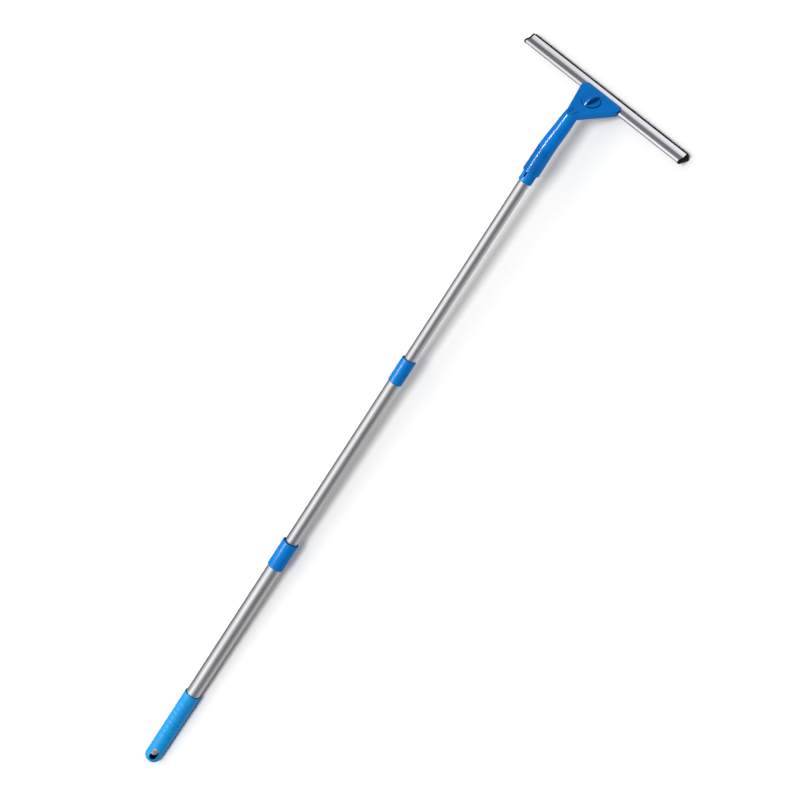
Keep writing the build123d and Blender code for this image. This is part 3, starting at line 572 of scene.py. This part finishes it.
def make_grip():
    """Grooved grip with a closed round end, a flared mouth and the slot through its end."""
    inner = GRIP_RADIUS - GRIP_WALL
    hollow = GRIP_END_RADIUS - GRIP_WALL
    end = rounded([(0, 0), (GRIP_RADIUS, 0, GRIP_END_RADIUS), (GRIP_RADIUS, FIRST_GROOVE)], steps=14)[:-1]
    grooves = []
    for number in range(GROOVES):
        grooves += groove_points(FIRST_GROOVE + number * GROOVE_PITCH)
    mouth = rounded([
        (GRIP_RADIUS, GRIP_LENGTH - GRIP_MOUTH_LEAD),
        (GRIP_RADIUS, GRIP_LENGTH, 0.5),
        (OUTER_RADIUS + GRIP_MOUTH_FLARE, GRIP_LENGTH, 0.3),
        (OUTER_RADIUS, GRIP_LENGTH - GRIP_MOUTH_DEPTH, 0.6),
        (OUTER_RADIUS, GRIP_TUBE_START),
        (inner, GRIP_TUBE_START),
        (inner, GRIP_WALL, hollow),
        (0, GRIP_WALL),
    ], steps=6)[1:]
    grip = lathe("grip_with_grooves", end + grooves + mouth, GRIP, "pole_outer",
                 ["end_grip"], segments=128, sharp=50)
    openings = []
    for (low, high), depth in ((HANG_SLOT, (0, CUT_REACH)), (HANG_SLOT_REAR, (-CUT_REACH, 0))):
        outline = stadium(high - low, HANG_SLOT_WIDTH, steps=16)
        openings.append(cutter_prism(outline, *depth, around_pole(HANG_SLOT_TURN, (low + high) / 2)))
    cut(grip, openings)
    smooth(grip, sharp=50)
    # The faces of the hollow behind the closed end take a dark navy that paints the shade inside it; the hollow's
    # own plastic is the grip's blue.
    grip.data.materials.append(HOLLOW_SHADE)
    to_pole = POLE.inverted()
    for face in grip.data.polygons:
        middle = to_pole @ face.center
        if math.hypot(middle.x, middle.z) < inner + 0.05 and middle.y > GRIP_WALL - 0.1:
            face.material_index = 1


def make_tube(name, radius, ends, body, node, pin=True):
    """Drawn tube with eased ends, and the lock pin's hole through its lower end."""
    inner = radius - TUBE_WALL
    low, high = ends
    profile = rounded([
        (inner, low, TUBE_EDGE), (radius, low, TUBE_EDGE),
        (radius, high, TUBE_EDGE), (inner, high, TUBE_EDGE),
    ], steps=3)
    tube = lathe(name, profile, TUBE, body, [node], segments=112)
    if pin:
        # The round hole is a hair longer than wide, so that its two half circles share no point.
        hole = stadium(2 * PIN_RADIUS + 0.001, 2 * PIN_RADIUS, steps=10)
        cut(tube, [cutter_prism(hole, -CUT_REACH, CUT_REACH, around_pole(90, low + PIN_FROM_END))])
        smooth(tube)


def make_collar(name, radius, carried, guided, ends, body, node):
    """Collar on the tube of radius carried, with an open mouth and a lip that guides the next tube."""
    lip = guided + SLIDING_CLEARANCE
    mouth = radius - COLLAR_RIM
    low, high = ends
    floor = high - COLLAR_MOUTH
    seat = floor - COLLAR_LIP
    profile = rounded([
        (carried, low, 0.2), (radius, low, 0.9), (radius, high, 0.6), (mouth, high, 0.35),
        (mouth, floor), (lip, floor, 0.4), (lip, seat), (carried, seat),
    ], steps=6)
    lathe(name, profile, COLLAR, body, [node], segments=112)


def make_adapter():
    """Plug over and into the upper tube's end: a collar, a spigot and a slit, tapered barrel."""
    low, high = ADAPTER
    bore = UPPER_RADIUS - TUBE_WALL
    spigot = bore - SPIGOT_WALL
    inside = ADAPTER_RADIUS - ADAPTER_WALL
    seat = UPPER_TUBE[1]
    roof = high - ADAPTER_WALL
    nose = high - ADAPTER_NOSE
    profile = rounded([
        (spigot, seat - SPIGOT_LENGTH), (bore, seat - SPIGOT_LENGTH), (bore, seat), (UPPER_RADIUS, seat),
        (UPPER_RADIUS, low, 0.3), (ADAPTER_RADIUS, low, 0.9), (ADAPTER_RADIUS, nose, 3.0),
        (ADAPTER_RADIUS - ADAPTER_TAPER, high, 1.0), (0, high), (0, roof), (inside - ADAPTER_TAPER, roof),
        (inside, nose), (inside, seat + SPIGOT_HEAD), (spigot, seat + SPIGOT_HEAD),
    ], steps=6)
    # The profile touches the axis: it is turned round to start and end there.
    start = profile.index((0.0, high))
    profile = profile[start + 1:] + profile[:start + 1]
    adapter = lathe("slit_tip_adapter", profile, COLLAR, "pole_upper",
                    ["tip_adapter"], segments=112)
    slot = stadium(ADAPTER_SLOT[1] - ADAPTER_SLOT[0], ADAPTER_SLOT_WIDTH, steps=8)
    middle = sum(ADAPTER_SLOT) / 2
    slots = []
    for turn in (0, 90, 180, 270):
        slots.append(cutter_prism(slot, ADAPTER_SLOT_FROM, CUT_REACH, around_pole(turn, middle)))
    cut(adapter, slots)
    smooth(adapter)


# ---------------------------------------------------------------- blade
def curve(start, end, start_slope, end_slope, steps):
    """Points from start up to, but not at, end on a cubic with these slopes."""
    reach = end[0] - start[0]
    points = []
    for step in range(steps):
        t = step / steps
        height = (2 * t**3 - 3 * t**2 + 1) * start[1] + (3 * t**2 - 2 * t**3) * end[1]
        height += reach * ((t**3 - 2 * t**2 + t) * start_slope + (t**3 - t**2) * end_slope)
        points.append((start[0] + t * reach, height))
    return points


def channel_top(raised):
    """The hollow top from the bulb's crest towards the nose, raised by this much."""
    crest = (BULB_RADIUS, BULB_HEIGHT + BULB_RADIUS + raised)
    dip = (DIP[0], DIP[1] + raised)
    nose = (CHANNEL_WIDTH, raised)
    return curve(crest, dip, 0.0, DIP_SLOPE, steps=14) + curve(dip, nose, DIP_SLOPE, NOSE_SLOPE, steps=16)


def along_blade(name, outline, material, node, sharp):
    """A piece of one section from cap to cap."""
    vertices, faces = prism_mesh([(-RAIL_HALF, outline), (RAIL_HALF, outline)])
    return finish_mesh(name, vertices, faces, CHANNEL, material, "blade", [node], sharp)


def make_channel():
    """Extrusion: a bulb with a bore at the back, a hollow top sheet and a short floor."""
    floor_low = BULB_HEIGHT - BULB_RADIUS
    floor_high = floor_low + BULB_WALL
    nose_low = -CHANNEL_SHEET
    before_nose = CHANNEL_WIDTH - NOSE_LEAD
    top = [point for point in channel_top(0.0) if point[0] < CHANNEL_WIDTH - TOP_END]
    nose = rounded([
        (before_nose, -NOSE_LEAD * NOSE_SLOPE), (CHANNEL_WIDTH, 0, NOSE_ROUNDING),
        (CHANNEL_WIDTH, nose_low, NOSE_ROUNDING), (before_nose, nose_low - NOSE_LEAD * NOSE_SLOPE),
    ], steps=5)[1:-1]
    # The sheet's underside and the floor's top run into the bulb where its circle crosses them.
    sheet_start = BULB_RADIUS + BULB_RADIUS * math.cos(math.radians(SHEET_JOIN))
    under = []
    for point in reversed(channel_top(-CHANNEL_SHEET)):
        if sheet_start < point[0] < CHANNEL_WIDTH - TOP_END:
            under.append(point)
    floor = rounded([
        (FLOOR_LEAD, floor_high), (CHANNEL_FLOOR, floor_high, FLOOR_ROUNDING),
        (CHANNEL_FLOOR, floor_low, FLOOR_ROUNDING), (FLOOR_LEAD, floor_low),
    ], steps=3)[1:-1]
    outline = top + nose + under + arc(BULB_CENTRE, BULB_RADIUS, SHEET_JOIN, FLOOR_JOIN, steps=6)
    outline += floor + arc(BULB_CENTRE, BULB_RADIUS, -90, BACK_END, steps=28)
    rail = along_blade("channel_rail", outline, RAIL, "blade_channel", sharp=40)
    bore = circle(BULB_RADIUS - BULB_WALL)
    cut(rail, [cutter_prism(bore, -BLADE_HALF, BLADE_HALF, across_at(CHANNEL, *BULB_CENTRE))])
    smooth(rail, sharp=40)


def make_rubber():
    """Bead in the channel, a web through its throat and the flexible lip that wipes."""
    back = CHANNEL_WIDTH + RUBBER_GAP
    heel = CHANNEL_FLOOR + HEEL_GAP
    edge_back, edge_front = RUBBER_EDGE
    outline = rounded([
        *WEB_TOP, (back, WEB_FRONT), (back, RUBBER_TOP, 0.15), (RUBBER_FRONT, RUBBER_TOP, 0.5),
        (*RUBBER_WAIST, 6.0), (edge_front, RUBBER_REACH, 0.2), (edge_back, RUBBER_REACH, 0.4),
        (*RUBBER_KNEE, 2.0), (heel, HEEL_LOW, 0.6), (heel, WEB_LOW), (WEB_BACK, WEB_LOW),
    ], steps=5)
    outline += arc(BEAD, BEAD_RADIUS, -56, -350, steps=14)
    along_blade("rubber_lip", outline, RUBBER, "rubber_blade", sharp=35)


def inset(outline, distance):
    """The outline moved in by a distance, corner by corner."""
    moved = []
    count = len(outline)
    for index in range(count):
        before = Vector(outline[index - 1])
        here = Vector(outline[index])
        after = Vector(outline[(index + 1) % count])
        along = (after - before).normalized()
        moved.append((here.x + distance * along.y, here.y - distance * along.x))
    return moved


def make_end_cap(name, side, node):
    """Black cap with a rounded rim over the end of the channel and the rubber."""
    edge_back, edge_front = RUBBER_EDGE
    outline = [point for point in channel_top(CAP_SHELL) if point[0] < CHANNEL_WIDTH - CAP_TOP_END]
    outline += rounded([
        (CHANNEL_WIDTH - CAP_TOP_END, 0.1), (CHANNEL_WIDTH + CAP_SHELL, CAP_SHELL, 0.8),
        (CAP_FRONT, RUBBER_TOP, 0.4), (edge_front, CAP_LOW, 0.8), (edge_back, CAP_LOW, 0.8),
        (BULB_RADIUS, BULB_HEIGHT - BULB_RADIUS - CAP_SHELL),
    ], steps=5)[1:]
    outline += arc(BULB_CENTRE, BULB_RADIUS + CAP_SHELL, -100, BACK_END, steps=20)
    stations = [(side * RAIL_HALF, outline), (side * (BLADE_HALF - CAP_RIM), outline)]
    steps = 4
    for step in range(1, steps + 1):
        angle = math.radians(90 * step / steps)
        x = BLADE_HALF - CAP_RIM * (1 - math.sin(angle))
        stations.append((side * x, inset(outline, CAP_RIM * (1 - math.cos(angle)))))
    vertices, faces = prism_mesh(stations)
    finish_mesh(name, vertices, faces, CHANNEL, BLACK, "blade", [node], sharp=45)


# ---------------------------------------------------------------- clamp
def make_knob():
    """Disc with a blind bore for the stud and a raised half-round fin to turn it by."""
    low, high = KNOB_LEVELS
    profile = [(0.0, KNOB_BORE_END), (STUD_RADIUS, KNOB_BORE_END), (STUD_RADIUS, low), (KNOB_RADIUS, low)]
    profile += arc((KNOB_RADIUS - KNOB_EDGE, high - KNOB_EDGE), KNOB_EDGE, 0, 90, steps=5) + [(0.0, high)]
    knob = lathe("turn_knob", profile, KNOB, "knob", ["clamp_knob"],
                 segments=96, axis=KNOB_AXIS)
    half = FIN_LENGTH / 2
    radius = (half**2 + FIN_HEIGHT**2) / (2 * FIN_HEIGHT)
    centre = high + FIN_HEIGHT - radius
    stations = []
    steps = 12
    for step in range(-steps, steps + 1):
        x = FIN_WIDTH / 2 * math.sin(math.radians(90 * step / steps))
        over = max(abs(x) - (FIN_WIDTH / 2 - FIN_CREST), 0.0)
        reach = radius - FIN_CREST + math.sqrt(FIN_CREST**2 - over**2)
        start = math.degrees(math.asin((high - FIN_SUNK - centre) / reach))
        side = arc((KNOB_POSITION + FIN_OFFSET, centre), reach, start, 180 - start, steps=40)
        stations.append((x, side))
    vertices, faces = prism_mesh(stations)
    cut(knob, [solid_object("cutter", vertices, faces, PLATE)], operation="UNION")
    smooth(knob)


def make_stud():
    """Steel stud that ends inside the knob's disc, with the cross pin's hole through its lower end."""
    low = CLAMP_PIN_LEVEL - 2 * CLAMP_PIN_RADIUS
    profile = [
        (0.0, low), (STUD_RADIUS - STUD_CHAMFER, low), (STUD_RADIUS, low + STUD_CHAMFER),
        (STUD_RADIUS, KNOB_BORE_END), (0.0, KNOB_BORE_END),
    ]
    stud = lathe("knob_stud", profile, STEEL, "knob", ["clamp_stud"],
                 segments=64, axis=KNOB_AXIS)
    through = 2 * STUD_RADIUS
    place = across_at(PLATE, KNOB_POSITION, CLAMP_PIN_LEVEL)
    cut(stud, [cutter_prism(circle(CLAMP_PIN_RADIUS), -through, through, place)])
    smooth(stud)


make_grip()
make_tube("outer_pole_tube", OUTER_RADIUS, OUTER_TUBE, "pole_outer", "outer_tube", pin=False)
make_tube("middle_pole_tube", MIDDLE_RADIUS, MIDDLE_TUBE, "pole_middle", "middle_tube")
make_tube("upper_pole_tube", UPPER_RADIUS, UPPER_TUBE, "pole_upper", "upper_tube")
make_collar("lower_collar_shell", LOWER_COLLAR_RADIUS, OUTER_RADIUS, MIDDLE_RADIUS, LOWER_COLLAR,
            "pole_outer", "lower_collar")
make_collar("upper_collar_shell", UPPER_COLLAR_RADIUS, MIDDLE_RADIUS, UPPER_RADIUS, UPPER_COLLAR,
            "pole_middle", "upper_collar")
make_adapter()
make_channel()
make_rubber()
make_end_cap("right_end_cap", 1, "right_end_plug")
make_end_cap("left_end_cap", -1, "left_end_plug")
make_knob()
make_stud()


# ---------------------------------------------------------------- CAD nodes that stay
KEPT = {
    "lower_lock_cam": LOCK, "lower_lock_spindle": LOCK, "lower_lock_pin": STEEL,
    "upper_lock_cam": LOCK, "upper_lock_spindle": LOCK, "upper_lock_pin": STEEL,
    "head_body": HEAD, "knob_washer": STEEL,
    "clamp_cross_pin": STEEL, "clamp_spring_washer": STEEL, "lower_jaw": HEAD,
}
for node_name, node_material in KEPT.items():
    node = frame["nodes"][node_name]
    node.data.materials.clear()
    node.data.materials.append(node_material)


# ---------------------------------------------------------------- studio, in metres
FLOOR_HALF = 30.0
BACKDROP_RADIUS = 29.0
BACKDROP_FOOT, BACKDROP_TOP = -0.5, 16.0
LAMP_DISTANCE = 3.0
TOOL_MIDDLE = (0, 0.7, 0)
STRIP_LENGTH = 5.0
TENT_PEAK = 1.35

# Brightness of the light tent by the angle from straight up towards +X, in degrees.
TENT = (
    (-180, 0.5), (-150, 0.42), (-130, 0.26), (-116, 0.16), (-88, 0.14), (-66, 0.42),
    (-44, 0.7), (-25, 1.3), (-2, TENT_PEAK), (16, 0.74), (35, 0.32), (54, 0.17),
    (75, 0.16), (95, 0.24), (117, 0.44), (140, 0.6), (180, 0.5),
)


def stage_object(name, vertices, faces, colour):
    """An object of the studio with a matt material of its own; its shader comes back beside it."""
    mesh = bpy.data.meshes.new(name)
    mesh.from_pydata(vertices, [], faces)
    material = bpy.data.materials.new(f"{name}_white")
    material.use_nodes = True
    shader = material.node_tree.nodes["Principled BSDF"]
    shader.inputs["Base Color"].default_value = (colour, colour, colour, 1.0)
    shader.inputs["Specular IOR Level"].default_value = 0.0
    mesh.materials.append(material)
    return add_object(name, mesh), shader


def make_floor():
    """The floor, which renders white; mirroring pieces see the light tent instead of it."""
    size = FLOOR_HALF
    corners = [(-size, -size, 0), (size, -size, 0), (size, size, 0), (-size, size, 0)]
    floor, shader = stage_object("floor", corners, [(0, 1, 2, 3)], 0.52)
    shader.inputs["Roughness"].default_value = 0.9
    floor.visible_glossy = False
    floor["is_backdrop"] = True
    return floor


def lay_floor_under(floor, pieces):
    """Sink the floor to the lowest piece, so that the whole tool lies on it wherever the joints stand."""
    tool = bpy.data.collections.new("tool")
    for piece in pieces:
        tool.objects.link(piece)
    group = bpy.data.node_groups.new("floor_height", "GeometryNodeTree")
    for way in ("INPUT", "OUTPUT"):
        group.interface.new_socket("Geometry", in_out=way, socket_type="NodeSocketGeometry")
    nodes, links = group.nodes, group.links
    source, result = nodes.new("NodeGroupInput"), nodes.new("NodeGroupOutput")
    info = nodes.new("GeometryNodeCollectionInfo")
    info.transform_space = "RELATIVE"
    info.inputs["Collection"].default_value = tool
    solid = nodes.new("GeometryNodeRealizeInstances")
    box = nodes.new("GeometryNodeBoundBox")
    lowest = nodes.new("ShaderNodeSeparateXYZ")
    shift = nodes.new("ShaderNodeCombineXYZ")
    move = nodes.new("GeometryNodeTransform")
    links.new(info.outputs["Instances"], solid.inputs["Geometry"])
    links.new(solid.outputs["Geometry"], box.inputs["Geometry"])
    links.new(box.outputs["Min"], lowest.inputs["Vector"])
    links.new(lowest.outputs["Z"], shift.inputs["Z"])
    links.new(source.outputs["Geometry"], move.inputs["Geometry"])
    links.new(shift.outputs["Vector"], move.inputs["Translation"])
    links.new(move.outputs["Geometry"], result.inputs["Geometry"])
    floor.modifiers.new("floor_height", "NODES").node_group = group


def make_backdrop():
    """A far white wall round the tool that only the camera sees."""
    steps = 48
    vertices = []
    for step in range(steps):
        angle = 2 * math.pi * step / steps
        x, y = BACKDROP_RADIUS * math.cos(angle), BACKDROP_RADIUS * math.sin(angle)
        vertices += [(x, y, BACKDROP_FOOT), (x, y, BACKDROP_TOP)]
    faces = []
    for step in range(steps):
        low, following = 2 * step, 2 * ((step + 1) % steps)
        faces.append((low, following, following + 1, low + 1))
    backdrop, shader = stage_object("backdrop", vertices, faces, 0.0)
    shader.inputs["Emission Color"].default_value = (1.0, 1.0, 1.0, 1.0)
    shader.inputs["Emission Strength"].default_value = 1.0
    backdrop.visible_diffuse = False
    backdrop.visible_glossy = False
    backdrop.visible_shadow = False
    backdrop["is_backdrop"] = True


def place_lamp(light, lean, back, receivers, state):
    """Aim a lamp at the tool from above, leaning to +X and +Y by these degrees; link what it lights."""
    lamp = add_object(light.name, light)
    source = Vector((math.tan(math.radians(lean)), math.tan(math.radians(back)), 1.0)).normalized()
    right = Vector((0, 1, 0)).cross(source).normalized()
    place = Vector(TOOL_MIDDLE) + source * LAMP_DISTANCE
    lamp.matrix_world = columns(right, source.cross(right), source, place)
    lit = bpy.data.collections.new(f"{light.name}_receivers")
    for index, piece in enumerate(receivers):
        lit.objects.link(piece)
        lit.collection_objects[index].light_linking.link_state = state
    lamp.light_linking.receiver_collection = lit
    return lamp


def softlight(name, lean, back, spread, strength, receivers, state="INCLUDE"):
    """A large far softbox: soft parallel light, spread over these degrees."""
    light = bpy.data.lights.new(name, "SUN")
    light.energy = strength
    light.angle = math.radians(spread)
    return place_lamp(light, lean, back, receivers, state)


def striplight(name, lean, width, power, receivers):
    """A long narrow softbox along the pole, for the line of light on the mouldings."""
    light = bpy.data.lights.new(name, "AREA")
    light.shape = "RECTANGLE"
    light.size = width
    light.size_y = STRIP_LENGTH
    light.energy = power
    lamp = place_lamp(light, lean, 0.0, receivers, "INCLUDE")
    lamp.visible_diffuse = False
    lamp.visible_camera = False


def make_world():
    """A light tent along the pole: bright overhead and a little to -X, dim low on the +X side."""
    world = bpy.data.worlds.new("studio")
    bpy.context.scene.world = world
    world.use_nodes = True
    nodes, links = world.node_tree.nodes, world.node_tree.links
    background = nodes["Background"]
    coordinates = nodes.new("ShaderNodeTexCoord")
    split = nodes.new("ShaderNodeSeparateXYZ")
    turn = nodes.new("ShaderNodeMath")
    turn.operation = "ARCTAN2"
    degrees = nodes.new("ShaderNodeMapRange")
    degrees.inputs["From Min"].default_value = -math.pi
    degrees.inputs["From Max"].default_value = math.pi
    ramp = nodes.new("ShaderNodeValToRGB")
    links.new(coordinates.outputs["Generated"], split.inputs["Vector"])
    links.new(split.outputs["X"], turn.inputs[0])
    links.new(split.outputs["Z"], turn.inputs[1])
    links.new(turn.outputs["Value"], degrees.inputs["Value"])
    links.new(degrees.outputs["Result"], ramp.inputs["Fac"])
    links.new(ramp.outputs["Color"], background.inputs["Color"])
    elements = ramp.color_ramp.elements
    while len(elements) < len(TENT):
        elements.new(0.5)
    for element, (angle, tone) in zip(elements, TENT):
        share = tone / TENT_PEAK
        element.position = (angle + 180) / 360
        element.color = (share, share, share, 1)
    background.inputs["Strength"].default_value = TENT_PEAK


def make_camera():
    """Camera at the fitted place; its numbers are in the pole's frame, in millimetres."""
    place = POLE @ Vector((1609.7, 1940.0, 2848.7))
    target = POLE @ Vector((26.14, 814.56, 0.0))
    roll = math.radians(-87.324)
    forward = (target - place).normalized()
    above = Vector((POLE[0][2], POLE[1][2], POLE[2][2])).normalized()
    level = forward.cross(above).normalized()
    rise = level.cross(forward)
    right = math.cos(roll) * level + math.sin(roll) * rise
    camera = bpy.data.cameras.new("camera")
    camera.lens = 95.791
    camera.sensor_width = 36.0
    camera.clip_end = 100.0
    viewer = add_object("camera", camera)
    viewer.matrix_world = columns(right, right.cross(forward), -forward, place)
    bpy.context.scene.camera = viewer


studio_floor = make_floor()
lay_floor_under(studio_floor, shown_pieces())
make_backdrop()
meshes = [piece for piece in bpy.data.objects if piece.type == "MESH"]
blue_pieces = [piece for piece in meshes if piece.active_material in BLUES]
softlight("shadow_light", lean=12.0, back=0.0, spread=21.0, strength=3.7, receivers=[studio_floor])
softlight("low_light", lean=-25.0, back=0.0, spread=46.0, strength=0.45, receivers=[studio_floor])
fill_light = softlight("fill_light", lean=50.0, back=-34.0, spread=30.0, strength=0.95,
                       receivers=[frame["nodes"]["head_body"]])
fill_light.visible_glossy = False
key_light = softlight("key_light", lean=-24.0, back=-6.0, spread=30.0, strength=2.0,
                      receivers=[studio_floor], state="EXCLUDE")
key_light.visible_glossy = False
striplight("strip_light", lean=-22.0, width=0.45, power=850.0, receivers=blue_pieces)
make_world()
make_camera()
bpy.context.scene.view_settings.view_transform = "Standard"
